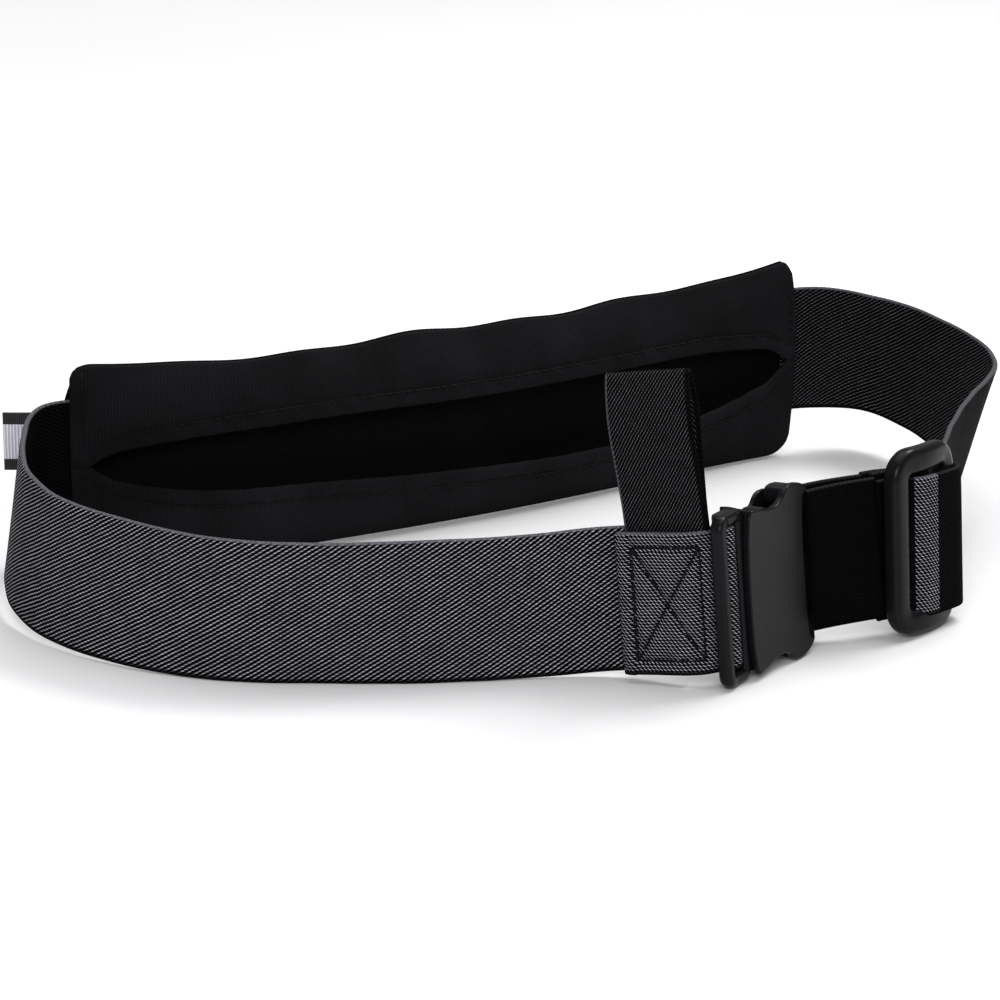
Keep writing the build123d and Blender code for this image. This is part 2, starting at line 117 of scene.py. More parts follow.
STRAP_REAR = [
    (74.0, 32.6, 22.9, -2.4, 2.4),
    (81.0, 35.8, 23.5, -1.6, 3.8),
    (88.5, 38.0, 24.2, -1.0, 4.6),
    (96.6, 39.8, 24.9, -1.0, 4.3),
]
POUCH_PATH = [
    (-117.0, 101.5),
    (-96.0, 102.6),
    (-74.0, 107.4),
    (-51.0, 118.8),
    (-28.0, 132.0),
    (0.0, 149.0),
    (29.0, 169.0),
    (58.0, 190.0),
    (87.0, 209.0),
]
UPPER_LIP = [30.5, 36.5, 38.5, 38.5, 38.0, 38.0, 38.0, 37.5, 34.0]
LOWER_LIP = [27.0, 21.8, 20.4, 18.4, 16.8, 15.6, 16.2, 20.0, 28.5]

# Webbing drawn in a hardware plane: along the pull, then outward
FOLD_BACK = [
    (-6.6, -23.0), (-5.7, -19.3), (-4.1, -14.5), (-2.8, -9.8), (-1.4, -6.3), (1.1, -2.9),
    (3.4, -1.0), (4.9, 0.9), (6.4, 2.0), (7.9, 2.1), (9.2, 1.2), (9.6, -0.2), (9.0, -1.5),
    (7.4, -2.3), (5.2, -2.9), (3.3, -4.2), (1.8, -6.2),
]
STRAP_TURN = [
    (41.2, 0.4), (39.0, 1.6), (37.0, 2.5), (35.2, 2.6), (33.4, 1.7), (32.8, 0.0),
    (33.4, -1.7), (35.2, -2.6), (37.2, -3.1), (39.0, -3.8), (41.2, -5.0),
]
SEWN_END = [
    (1.2, -6.0), (5.0, -4.9), (8.6, -1.6), (11.4, 1.3), (14.2, 2.1), (16.8, 1.4),
    (17.6, 0.0), (16.6, -1.6), (14.0, -2.4), (10.0, -4.2), (5.6, -7.3), (1.2, -8.9),
]
RUNNING_WEB = [
    (1.0, -4.0), (4.6, -3.0), (7.8, 0.2), (10.8, 3.4), (14.4, 4.5), (19.0, 4.7),
    (24.2, 4.8), (28.4, 4.2), (30.9, 2.0), (31.5, -0.7), (31.6, -3.4),
]


# -------------------------------- geometry helpers

def hardware_axes(place, middle, heading, lean, pitch):
    """Origin, along, up and outward of a buckle, slider or loop, in millimetres."""
    along = Vector((cos(radians(heading)), sin(radians(heading)), 0))
    outward = Vector((sin(radians(heading)), -cos(radians(heading)), 0))
    up = Vector((0, 0, 1)) - outward * sin(radians(lean)) - along * sin(radians(pitch))
    up = up.normalized()
    outward = (outward - up * outward.dot(up)).normalized()
    along = up.cross(outward)
    origin = Vector((place[0] - CENTRE[0], place[1] - CENTRE[1], middle))
    return origin, along, up, outward


BUCKLE = hardware_axes((53.6, -4.9), 22.9, 56.0, 4.5, 1.0)
SLIDER = hardware_axes((101.5, 33.8), 26.1, 52.0, 4.9, -3.0)


def in_axes(axes, points):
    """Local along, up, outward rows to the row frame, in millimetres."""
    origin, along, up, outward = (np.array(v) for v in axes)
    points = np.asarray(points, float)
    return origin + points[:, :1] * along + points[:, 1:2] * up + points[:, 2:3] * outward


def smooth(points, spacing, place_columns=3):
    """Rows read along a natural cubic through them, spaced by the length of their first columns."""
    points = np.array(points, float)
    count = len(points)
    chord = np.linalg.norm(np.diff(points[:, :place_columns], axis=0), axis=1)
    knots = np.concatenate([[0], np.cumsum(chord)])
    matrix = np.eye(count)
    right = np.zeros_like(points)
    for i in range(1, count - 1):
        before, after = chord[i - 1], chord[i]
        matrix[i, i - 1:i + 2] = before, 2 * (before + after), after
        slope_change = (points[i + 1] - points[i]) / after - (points[i] - points[i - 1]) / before
        right[i] = 6 * slope_change
    bend = np.linalg.solve(matrix, right)
    fine = np.linspace(0, knots[-1], int(knots[-1] / spacing) + 2)
    span = np.clip(np.searchsorted(knots, fine, side="right") - 1, 0, count - 2)
    h = chord[span][:, None]
    t = (fine - knots[span])[:, None]
    start, end = points[span], points[span + 1]
    curved = (bend[span] * (h - t) ** 3 + bend[span + 1] * t ** 3) / (6 * h)
    straight = (start / h - bend[span] * h / 6) * (h - t) + (end / h - bend[span + 1] * h / 6) * t
    return curved + straight


def unit(rows):
    return rows / np.linalg.norm(rows, axis=1)[:, None]


def lengths(points):
    steps = np.linalg.norm(np.diff(points, axis=0), axis=1)
    return np.concatenate([[0], np.cumsum(steps)])


def rows_at(place, run, rows):
    """Rows of three read at one length along them."""
    return np.array([np.interp(place, run, rows[:, k]) for k in range(3)])


def add_object(name, data):
    made = bpy.data.objects.new(name, data)
    bpy.context.scene.collection.objects.link(made)
    return made


def make_piece(name, vertices, faces, weave=None, material=None):
    """A smooth-shaded mesh from millimetre vertices, with the cloth's own coordinates on it."""
    mesh = bpy.data.meshes.new(name)
    mesh.from_pydata([tuple(v) for v in np.asarray(vertices) * MM], [], faces)
    mesh.polygons.foreach_set("use_smooth", [True] * len(mesh.polygons))
    if weave is not None:
        field = mesh.attributes.new("weave", "FLOAT_VECTOR", "POINT")
        field.data.foreach_set("vector", np.asarray(weave, np.float32).ravel())
    mesh.validate()
    mesh.update()
    piece = add_object(name, mesh)
    if material is not None:
        mesh.materials.append(material)
    return piece


def tube_faces(rings, ring):
    """Quads between rings of equal size, with flat ends."""
    faces = []
    for i in range(rings - 1):
        for j in range(ring):
            k = (j + 1) % ring
            faces.append((i * ring + j, i * ring + k, (i + 1) * ring + k, (i + 1) * ring + j))
    faces.append(tuple(range(ring))[::-1])
    faces.append(tuple(range((rings - 1) * ring, rings * ring)))
    return faces


def web_section(width, thick, across):
    """A webbing section as rows of across and outward, with rounded selvedges."""
    half = width / 2
    radius = thick / 2
    flat = np.linspace(-half + radius, half - radius, across)
    turn = np.linspace(pi / 2, -pi / 2, 7)[1:-1]
    front = [(w, radius) for w in flat]
    top = [(half - radius + radius * cos(a), radius * sin(a)) for a in turn]
    back = [(w, -radius) for w in flat[::-1]]
    bottom = [(-w, -n) for w, n in top]
    return np.array(front + top + back + bottom)


def web_mesh(name, centre, up, outward, width, thick, material, relief=None, across=39):
    """Webbing along a centre line; relief gives an outward shift at each length and place across."""
    section = web_section(width, thick, across)
    run = lengths(centre)
    w = section[:, 0][None, :]
    n = np.broadcast_to(section[:, 1][None, :], (len(run), len(section))).copy()
    if relief is not None:
        n = n + relief(run[:, None], w, np.sign(section[:, 1])[None, :])
    vertices = centre[:, None, :] + up[:, None, :] * w[..., None] + outward[:, None, :] * n[..., None]
    weave = np.zeros((len(run), len(section), 3))
    weave[..., 0] = run[:, None]
    weave[..., 1] = w
    weave[..., 2] = np.sign(section[:, 1])[None, :]
    faces = tube_faces(len(run), len(section))
    return make_piece(name, vertices.reshape(-1, 3), faces, weave.reshape(-1, 3), material)


def station_lines(stations, width, spacing=1.0):
    """Centre, up and outward rows along a list of stations."""
    fine = smooth(stations, spacing)
    centre = fine[:, :3] - np.array([CENTRE[0], CENTRE[1], 0])
    along = unit(np.gradient(centre, axis=0))
    tip = np.column_stack([fine[:, 3:5] / width, np.zeros(len(fine))])
    rise = np.sqrt(1 - (tip ** 2).sum(axis=1))
    up = unit(tip + np.column_stack([np.zeros((len(fine), 2)), rise]))
    outward = unit(np.cross(along, up))
    return centre, np.cross(outward, along), outward


def plane_lines(axes, line, spacing=0.5):
    """Centre, up and outward rows of webbing drawn in a hardware plane."""
    fine = smooth(line, spacing, 2)
    centre = in_axes(axes, np.column_stack([fine[:, 0], np.zeros(len(fine)), fine[:, 1]]))
    along = unit(np.gradient(centre, axis=0))
    up = np.broadcast_to(np.array(axes[2]), centre.shape)
    return centre, up, unit(np.cross(along, up))


def cloth_ripple(amount):
    """Slow unevenness of soft webbing, stronger toward its edges."""
    def relief(run, w, face):
        edge = (abs(w) / (WEB_WIDTH / 2)) ** 2
        slow = np.sin(run / 11.0 + 0.06 * w) * 0.5 + np.sin(run / 6.3 + 1.7 - 0.1 * w) * 0.3
        fine = np.sin(run / 2.9 + 0.5 * np.sign(w)) * 0.25 * edge
        return amount * (slow * edge + fine + 0.2 * np.sin(run / 17.0))
    return relief


# -------------------------------- materials

class Nodes:
    """Short names for the shader nodes used below."""

    def __init__(self, name):
        self.material = bpy.data.materials.new(name)
        self.material.use_nodes = True
        self.tree = self.material.node_tree
        self.shader = self.tree.nodes["Principled BSDF"]

    def node(self, kind, **settings):
        made = self.tree.nodes.new(kind)
        for key, value in settings.items():
            setattr(made, key, value)
        return made

    def put(self, value, socket):
        if isinstance(value, (int, float, tuple)):
            socket.default_value = value
        else:
            self.tree.links.new(value, socket)

    def math(self, operation, *values):
        made = self.node("ShaderNodeMath", operation=operation)
        for value, socket in zip(values, made.inputs):
            self.put(value, socket)
        return made.outputs[0]

    def step(self, value, low, high, to_low=0.0, to_high=1.0):
        """A smooth ramp of value from low to high."""
        made = self.node("ShaderNodeMapRange", interpolation_type="SMOOTHSTEP")
        for key, entry in zip(("Value", "From Min", "From Max", "To Min", "To Max"),
                              (value, low, high, to_low, to_high)):
            self.put(entry, made.inputs[key])
        return made.outputs[0]

    def mix(self, share, first, second):
        made = self.node("ShaderNodeMix", data_type="RGBA")
        self.put(share, made.inputs["Factor"])
        for value, socket in ((first, made.inputs["A"]), (second, made.inputs["B"])):
            self.put(value, socket)
        return made.outputs["Result"]

    def weave(self):
        """Length, across and face of the cloth, in millimetres."""
        field = self.node("ShaderNodeAttribute", attribute_name="weave")
        split = self.node("ShaderNodeSeparateXYZ")
        self.put(field.outputs["Vector"], split.inputs[0])
        return tuple(split.outputs)

    def place(self):
        return self.node("ShaderNodeTexCoord").outputs["Object"]

    def noise(self, scale, detail=3.0, vector=None):
        made = self.node("ShaderNodeTexNoise")
        made.inputs["Scale"].default_value = scale
        made.inputs["Detail"].default_value = detail
        if vector is None:
            vector = self.place()
        self.put(vector, made.inputs["Vector"])
        return made.outputs[0]

    def join(self, *values):
        made = self.node("ShaderNodeCombineXYZ")
        for value, socket in zip(values, made.inputs):
            self.put(value, socket)
        return made.outputs[0]

    def random(self, vector):
        made = self.node("ShaderNodeTexWhiteNoise", noise_dimensions="3D")
        self.put(vector, made.inputs["Vector"])
        return made.outputs["Value"]

    def bump(self, height, distance, strength=1.0):
        made = self.node("ShaderNodeBump")
        made.inputs["Strength"].default_value = strength
        made.inputs["Distance"].default_value = distance
        self.put(height, made.inputs["Height"])
        self.put(made.outputs[0], self.shader.inputs["Normal"])

    def set(self, **values):
        for key, value in values.items():
            self.put(value, self.shader.inputs[key.replace("_", " ")])


def grey(value, warm=0.0):
    return (value * (1 + warm), value, value * (1 + 0.12 + warm), 1.0)


# Half sizes of a fleck, its lean and the set-back of each row, as shares of its cell
RIDGED = (0.20, 0.50, 0.5, 0.5)
DOTTED = (0.24, 0.42, 1.1, 0.56)
BOTTOM_DARK = 1.6                # the lower selvedge has no flecks
EDGE_PITCH = 1.3                 # one turn of the thread along the upper selvedge


def webbing_material(name, cell_size, shape, fleck, selvedge, half_width, back_flecks_and_shade=(1.0, 1.0)):
    """Twill elastic: ridges of light flecks on a black ground; the last argument dims them on the back and
    front face: the back's own sparser flecks, and painted shade on the bands' inner faces.
    """
    along, across = cell_size
    fleck_long, fleck_wide, lean, set_back = shape
    m = Nodes(name)
    run, w, face = m.weave()
    drift = m.noise(0.25, 2.0, m.join(run, w, 0.0))
    w_drift = m.math("ADD", w, m.math("MULTIPLY", drift, 0.5))
    row_place = m.math("DIVIDE", w_drift, across)
    row = m.math("FLOOR", row_place)
    in_row = m.math("SUBTRACT", m.math("FRACT", row_place), 0.5)
    stagger = m.math("MULTIPLY", row, set_back)
    cell_place = m.math("SUBTRACT", m.math("DIVIDE", run, along), stagger)
    cell = m.math("FLOOR", cell_place)
    in_cell = m.math("SUBTRACT", m.math("FRACT", cell_place), 0.5)
    slanted = m.math("SUBTRACT", in_cell, m.math("MULTIPLY", in_row, lean))
    long_part = m.math("POWER", m.math("DIVIDE", slanted, fleck_long), 2.0)
    wide_part = m.math("POWER", m.math("DIVIDE", in_row, fleck_wide), 2.0)
    distance = m.math("ADD", long_part, wide_part)
    thread = m.step(distance, 0.15, 1.15, 1.0, 0.0)
    chance = m.random(m.join(cell, row, face))
    patches = m.noise(0.16, 3.0, m.join(run, w, face))
    bright = m.math("MULTIPLY", m.math("ADD", m.math("MULTIPLY", chance, 0.35), 0.65),
                    m.step(patches, 0.25, 0.75, 0.85, 1.1))
    # back face dimmed: partly the back's sparser flecks, partly painted shade on the inner faces
    face_flecks_and_shade = m.step(face, -0.5, 0.5, back_flecks_and_shade[0], back_flecks_and_shade[1])
    above_edge = m.step(w, BOTTOM_DARK * 0.6 - half_width, BOTTOM_DARK - half_width, 0.06, 1.0)
    share = m.math("MULTIPLY", m.math("MULTIPLY", thread, bright), m.math("MULTIPLY", face_flecks_and_shade, above_edge))
    edge = m.step(w, half_width - 0.75, half_width - 0.25)
    edge_place = m.math("FRACT", m.math("DIVIDE", run, EDGE_PITCH))
    edge_share = m.math("MULTIPLY", edge, m.step(edge_place, 0.0, 0.5, 0.45, 1.0))
    cloth = m.mix(share, grey(0.001), fleck)
    m.set(Base_Color=m.mix(edge_share, cloth, selvedge))
    m.set(Roughness=m.step(thread, 0.0, 1.0, 0.85, 0.6))
    m.set(Specular_IOR_Level=0.02)
    m.bump(thread, 0.00028, 0.9)
    return m.material


def pouch_material(name, ground, lift):
    """Soft black knit: fine ribs, tiny loops and lint."""
    m = Nodes(name)
    run, up = m.weave()[:2]
    rib = m.math("SINE", m.math("MULTIPLY", run, 2 * pi / 0.9))
    loop = m.math("SINE", m.math("MULTIPLY", m.math("ADD", up, m.math("MULTIPLY", run, 0.5)), 2 * pi / 0.8))
    knit = m.math("MULTIPLY", m.math("ADD", rib, loop), 0.25)
    lint = m.noise(2600.0, 4.0)
    slow = m.noise(40.0, 3.0)
    tone = m.math("ADD", m.math("MULTIPLY", knit, 0.35), m.math("MULTIPLY", slow, 0.8))
    m.set(Base_Color=m.mix(m.step(tone, 0.0, 1.0), ground, lift))
    m.set(Roughness=m.step(lint, 0.3, 0.7, 0.8, 0.95))
    m.set(Specular_IOR_Level=0.05)
    m.bump(m.math("ADD", knit, m.math("MULTIPLY", lint, 0.5)), 0.00018, 0.8)
    return m.material


def plastic_material(name, base, rough):
    """Moulded nylon: a faint grain, slightly worn where hands rub it."""
    m = Nodes(name)
    grain = m.noise(2200.0, 3.0)
    wear = m.noise(90.0, 4.0)
    m.set(Base_Color=m.mix(m.step(wear, 0.35, 0.7), base, tuple(c * 1.25 for c in base[:3]) + (1.0,)))
    m.set(Roughness=m.step(wear, 0.3, 0.7, rough - 0.02, rough + 0.04))
    m.set(Specular_IOR_Level=0.09)
    m.bump(grain, 0.00002, 0.4)
    return m.material


def thread_material():
    """Black sewing thread with a fine diagonal twist."""
    m = Nodes("sewing_thread")
    twist = m.node("ShaderNodeTexWave", bands_direction="DIAGONAL")
    twist.inputs["Scale"].default_value = 1800.0
    m.put(m.place(), twist.inputs["Vector"])
    m.set(Base_Color=m.mix(twist.outputs["Fac"], grey(0.001), grey(0.005)))
    m.set(Roughness=0.6, Specular_IOR_Level=0.12)
    m.bump(twist.outputs["Fac"], 0.00008)
    return m.material


def ribbon_material(name, base, lift, pitch, rough, metallic):
    """Ribbed ribbon: cross ribs along its length."""
    m = Nodes(name)
    run, w = m.weave()[:2]
    rib = m.math("SINE", m.math("MULTIPLY", run, 2 * pi / pitch))
    speck = m.noise(1500.0, 3.0)
    share = m.math("MULTIPLY", m.step(rib, -1.0, 1.0), m.step(speck, 0.2, 0.8, 0.6, 1.0))
    m.set(Base_Color=m.mix(share, base, lift))
    m.set(Roughness=m.step(speck, 0.3, 0.7, rough - 0.08, rough + 0.08), Metallic=metallic)
    m.set(Specular_IOR_Level=0.4)
    m.bump(rib, 0.00010, 0.8)
    return m.material


# Size of a weave cell along and across; a negative length leans the flecks the other way
TWILL = (1.9, 0.6)
BACK_WEAVE = (-1.05, 0.83)
LOOP_TWILL = (-1.35, 0.45)
WEB = webbing_material("elastic_webbing", TWILL, RIDGED, grey(0.48), grey(0.09), WEB_WIDTH / 2,
                       (0.015, 1.0))
FLAP_WEB = webbing_material("turned_webbing", BACK_WEAVE, DOTTED, grey(0.46), grey(0.09), WEB_WIDTH / 2)
# A darker copy of the elastic webbing for the right band: painted shade.
SHADED_RIGHT_WEB = webbing_material("right_webbing_painted_shade", TWILL, RIDGED, grey(0.11), grey(0.07), WEB_WIDTH / 2,
                             (0.03, 1.0))
# A near-black copy of the turned webbing for the strap and the webbing at the slider: painted shade.
SHADED_STRAP = webbing_material("strap_webbing_painted_shade", BACK_WEAVE, DOTTED, grey(0.006), grey(0.015), WEB_WIDTH / 2)
LOOP = webbing_material("loop_webbing", LOOP_TWILL, RIDGED, grey(0.10), grey(0.07), LOOP_WIDTH / 2)
POUCH = pouch_material("pouch_knit", grey(0.0022, 0.05), grey(0.0115, 0.05))
# A darker copy of the knit for the panels' inner faces: painted shade inside the pouch.
SHADED_LINING = pouch_material("pouch_lining_painted_shade", grey(0.001), grey(0.003))
PLASTIC = plastic_material("buckle_plastic", grey(0.004, 0.08), 0.24)
THREAD = thread_material()
TAB = ribbon_material("tab_ribbon", grey(0.002), grey(0.02), 0.6, 0.6, 0.0)
SILVER = ribbon_material("reflective_silver", grey(0.42), grey(0.72), 0.9, 0.38, 0.25)


# -------------------------------- bands and straps

def finish_web(nodes):
    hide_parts(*nodes)


BAND_RIPPLE = 0.3
STRAP_RIPPLE = 0.15


def make_band(name, stations, node, material, ripple):
    """Webbing on its edge along a list of stations; gives the piece and its centre line."""
    centre, up, outward = station_lines(stations, WEB_WIDTH)
    band = web_mesh(name, centre, up, outward, WEB_WIDTH, WEB_THICK, material, cloth_ripple(ripple))
    finish_web([node])
    return band, centre


front, front_line = make_band("front_band_web", FRONT_BAND, "front_band", WEB, BAND_RIPPLE)
right, right_line = make_band("right_band_web", RIGHT_BAND, "right_band", SHADED_RIGHT_WEB, BAND_RIPPLE)
strap_front, _ = make_band("strap_front_web", STRAP_FRONT, "strap_front_layer", SHADED_STRAP, STRAP_RIPPLE)
strap_rear, _ = make_band("strap_rear_web", STRAP_REAR, "strap_rear_layer", SHADED_STRAP, STRAP_RIPPLE)


TURN_RIPPLE = 0.1               # webbing held tight round a bar hardly waves


def make_turn(name, axes, line, node, body, material, drop=0.0):
    """Webbing that turns round a bar, drawn in the plane of its buckle or slider."""
    centre, up, outward = plane_lines(axes, line)
    centre = centre - up * drop
    web = web_mesh(name, centre, up, outward, WEB_WIDTH, WEB_THICK, material, cloth_ripple(TURN_RIPPLE))
    finish_web([node])
    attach(web, body)
    return web


make_turn("strap_turn_web", BUCKLE, STRAP_TURN, "strap_turn", "belt", SHADED_STRAP)
make_turn("sewn_end_web", SLIDER, SEWN_END, "sewn_end", "slider", SHADED_STRAP)
running = make_turn("running_web", SLIDER, RUNNING_WEB, "strap_over_slider", "slider", FLAP_WEB, drop=1.8)
# the running web's ends take the dark strap material: painted shade behind the slider's bars
running.data.materials.append(SHADED_STRAP)
LIT_RUN = (11.0, 18.5)           # lit part over the window keeps its flecks; outside it the dark strap material is painted shade
run_of = [v.vector[0] for v in running.data.attributes["weave"].data]
for polygon in running.data.polygons:
    if not LIT_RUN[0] < run_of[polygon.vertices[0]] < LIT_RUN[1]:
        polygon.material_index = 1


# -------------------------------- fold-back and its stitching

BOX_HALF_X = 8.7
BOX_HALF_Z = 15.0
GROOVE_WIDTH = 0.8
GROOVE_DEPTH = 0.6
HEM_END = 2.9                   # width of the folded hem strip
BOX_THREAD = 0.33               # radii of the sewing thread
HEM_THREAD = 0.24
SEAM_THREAD = 0.22


def stitch_runs():
    """Straight runs of the box and cross, as along and up from the start of the flap."""
    corners = [(-BOX_HALF_X, -BOX_HALF_Z), (BOX_HALF_X, -BOX_HALF_Z),
               (BOX_HALF_X, BOX_HALF_Z), (-BOX_HALF_X, BOX_HALF_Z)]
    corners = [(x + BOX_HALF_X + HEM_END + 0.9, z) for x, z in corners]
    sides = list(zip(corners, corners[1:] + corners[:1]))
    return sides + [(corners[0], corners[2]), (corners[1], corners[3])]


def distance_to_run(run, w, start, end):
    start, end = np.array(start), np.array(end)
    direction = end - start
    share = ((run - start[0]) * direction[0] + (w - start[1]) * direction[1]) / (direction @ direction)
    share = np.clip(share, 0, 1)
    return np.hypot(run - start[0] - share * direction[0], w - start[1] - share * direction[1])


def flap_relief(run, w, face):
    """Grooves where the box stitching pulls the webbing in, and the thicker folded hem."""
    nearest = np.min([distance_to_run(run, w, a, b) for a, b in stitch_runs()], axis=0)
    groove = -GROOVE_DEPTH * np.exp(-(nearest / GROOVE_WIDTH) ** 2) * face
    puff = 0.18 * np.exp(-((nearest - 2.6) / 1.5) ** 2) * face
    hem = 0.6 * (1 - np.clip((run - HEM_END) / 0.5, 0, 1)) * (face > 0)
    end = -0.5 * np.exp(-(run / 0.8) ** 2) * face
    return groove + puff + hem + end


def make_fold_back():
    """The front band's end, turned round the web bar and sewn down over the band."""
    centre, up, outward = plane_lines(BUCKLE, FOLD_BACK, 0.4)
    flap = web_mesh("fold_back_web", centre, up, outward, WEB_WIDTH, WEB_THICK, FLAP_WEB, flap_relief,
                    across=96)
    finish_web(["band_fold_back"])
    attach(flap, "male_half")
    return centre, up, outward


def thread_piece(name, paths, radius, body, nodes, sides=6):
    """Sewing thread: short round stitches that dive into the cloth at both ends."""
    vertices = []
    faces = []
    for path in paths:
        along = unit(np.gradient(path, axis=0))
        helper = np.array([0.0, 0.0, 1.0]) if abs(along[0][2]) < 0.9 else np.array([1.0, 0.0, 0.0])
        first = unit(np.cross(along, helper))
        second = np.cross(along, first)
        base = len(vertices)
        taper = np.sin(np.linspace(0.25, pi - 0.25, len(path))) ** 0.35
        for point, a, b, t in zip(path, first, second, taper):
            for k in range(sides):
                turn = 2 * pi * k / sides
                vertices.append(point + radius * t * (a * cos(turn) + b * sin(turn)))
        for face in tube_faces(len(path), sides):
            faces.append(tuple(base + i for i in face))
    piece = make_piece(name, vertices, faces, material=THREAD)
    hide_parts(*nodes)
    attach(piece, body)
    return piece


def stitch_row(point_at, length, pitch=2.9, share=0.88, depth=0.22):
    """Stitches along a row; point_at gives a surface point and its outward at a length."""
    paths = []
    count = int(length / pitch)
    for i in range(count):
        path = []
        for step in np.linspace(0, 1, 7):
            point, outward = point_at((i + (1 - share) / 2 + share * step) * length / count)
            path.append(point + outward * depth * (sin(pi * step) * 1.6 - 0.9))
        paths.append(np.array(path))
    return paths


flap_centre, flap_up, flap_outward = make_fold_back()
flap_run = lengths(flap_centre)


def on_flap(run, w):
    """A point on the flap's outer face and its outward."""
    outward = rows_at(run, flap_run, flap_outward)
    outward /= np.linalg.norm(outward)
    rise = WEB_THICK / 2 - GROOVE_DEPTH * 0.55
    point = rows_at(run, flap_run, flap_centre) + np.array(flap_up[0]) * w + outward * rise
    return point, outward


box_paths = []
for start, end in stitch_runs():
    start, end = np.array(start), np.array(end)
    total = np.linalg.norm(end - start)
    box_paths += stitch_row(lambda s: on_flap(*(start + (end - start) * s / total)), total)
hem_paths = stitch_row(lambda s: on_flap(HEM_END + 0.4, s - WEB_WIDTH / 2 + 1), WEB_WIDTH - 2)
thread_piece("box_thread", box_paths, BOX_THREAD, "male_half", ["box_stitching"])
thread_piece("flap_hem_thread", hem_paths, SEAM_THREAD, "male_half", [])


# -------------------------------- pouch

POUCH_STEP = 1.0                # along
END_CORNER = 8.0                # round lower right corner
END_SEAM = 3.2                  # the lips are sewn together this far at each end
LEFT_TURN = 4.6                 # the back panel reaches this far past the line's left end
LEFT_TURN_DROP = 10.5           # and its top falls by this much
LEFT_SEAM = 1.7                 # the front panels reach this far past it
LEFT_CORNER = 2.6               # and every panel's upper corner is rounded off by this much
MOUTH_CLOSES = 9.0              # the lips run together over this length at each end
WRINKLE = 0.42                  # height of the soft folds
EDGE_OUT = 0.75                 # joined edges of the panels stand this far from the belt's line
STITCH_INSET = 2.0              # the stitches that close an end stand this far from it


def pouch_bulge(share):
    return POUCH_END + (POUCH_BULGE - POUCH_END) * np.sin(pi * np.clip(share, 0, 1)) ** 0.6


def pouch_top(share):
    """The top line: nearly level on the left, then a long soft wave, and flared at the right end."""
    flare = POUCH_FLARE * np.clip((share - 0.8) / 0.2, 0, 1) ** 2
    wave = 0.7 * np.sin(share * 17 + 0.6) * np.sin(pi * share) - 0.5 * np.sin(share * 41)
    right_corner = 4.0 * np.clip((share - 0.985) / 0.015, 0, 1) ** 2
    left_corner = 1.2 * np.clip((0.02 - share) / 0.02, 0, 1) ** 2
    return POUCH_HEIGHT + flare + wave * np.sin(pi * share) - (right_corner + left_corner)


def pouch_bottom(run, total):
    """The lower edge turns up in a round corner at the right end."""
    t = np.clip((run - (total - END_CORNER)) / END_CORNER, 0, 1)
    return 0.8 + END_CORNER * 0.8 * (1 - np.sqrt(1 - t * t * 0.98))


def soft(values, share):
    """A list read smoothly at shares of its length."""
    fine = smooth([(i, v) for i, v in enumerate(values)], 0.02, 1)
    return np.interp(share * (len(values) - 1), fine[:, 0], fine[:, 1])


def pouch_lines():
    fine = smooth([(x, y, 0.0) for x, y in POUCH_PATH], POUCH_STEP, 2)
    centre = fine - np.array([CENTRE[0], CENTRE[1], 0])
    along = unit(np.gradient(centre, axis=0))
    outward = np.column_stack([along[:, 1], -along[:, 0], np.zeros(len(along))])
    return centre, outward


pouch_centre, pouch_outward = pouch_lines()
pouch_run = lengths(pouch_centre)
pouch_share = pouch_run / pouch_run[-1]


def wrinkles(run, z, amount):
    """Folds that run out from the sewn ends, with soft waves and small ripples over the panel."""
    left = np.exp(-run / 38.0)
    right = np.exp(-(pouch_run[-1] - run) / 34.0)
    folds = left * np.sin(z / 4.2 + run / 15.0) + right * np.sin(z / 4.8 - run / 13.0 + 1.0)
    soft_waves = 0.45 * np.sin(run / 13.0 + z / 19.0) + 0.3 * np.sin(run / 7.5 - z / 11.0 + 2.0)
    small = 0.12 * np.sin(run / 2.8 + z / 5.0) * np.sin(z / 3.3 + 0.7)
    return amount * (0.9 * folds + soft_waves + small)


def lips(share):
    """Heights of the upper and lower lip; they run together at both ends."""
    upper = soft(UPPER_LIP, share)
    lower = soft(LOWER_LIP, share)
    run = share * pouch_run[-1]
    near_end = (min(run, pouch_run[-1] - run) - END_SEAM) / MOUTH_CLOSES
    gape = sin(min(max(near_end, 0.0), 1.0) * pi / 2) ** 0.7
    middle = (upper + lower) / 2
    closed = 0.5 * (1 - gape)
    return middle + (upper - middle) * gape - closed, middle + (lower - middle) * gape + closed


def panel_profile(kind, share, top, bulge):
    """Outward and height rows of a panel's middle surface at one share of the pouch's length."""
    bottom = float(pouch_bottom(share * pouch_run[-1], pouch_run[-1]))
    upper_lip, lower_lip = lips(share)
    if kind == "back":
        shape = [(EDGE_OUT, bottom), (bulge * 0.85, top * 0.25), (bulge, top * 0.5),
                 (bulge * 0.8, top * 0.8), (EDGE_OUT, top - 0.8)]
        shape = [(-n, z) for n, z in shape]
    elif kind == "upper":
        shape = [(EDGE_OUT, top - 0.8), (bulge * 0.85, top * 0.82), (bulge, upper_lip)]
    else:
        shape = [(EDGE_OUT, bottom), (bulge * 0.8, (bottom + lower_lip) * 0.5), (bulge * 0.95, lower_lip)]
    return shape


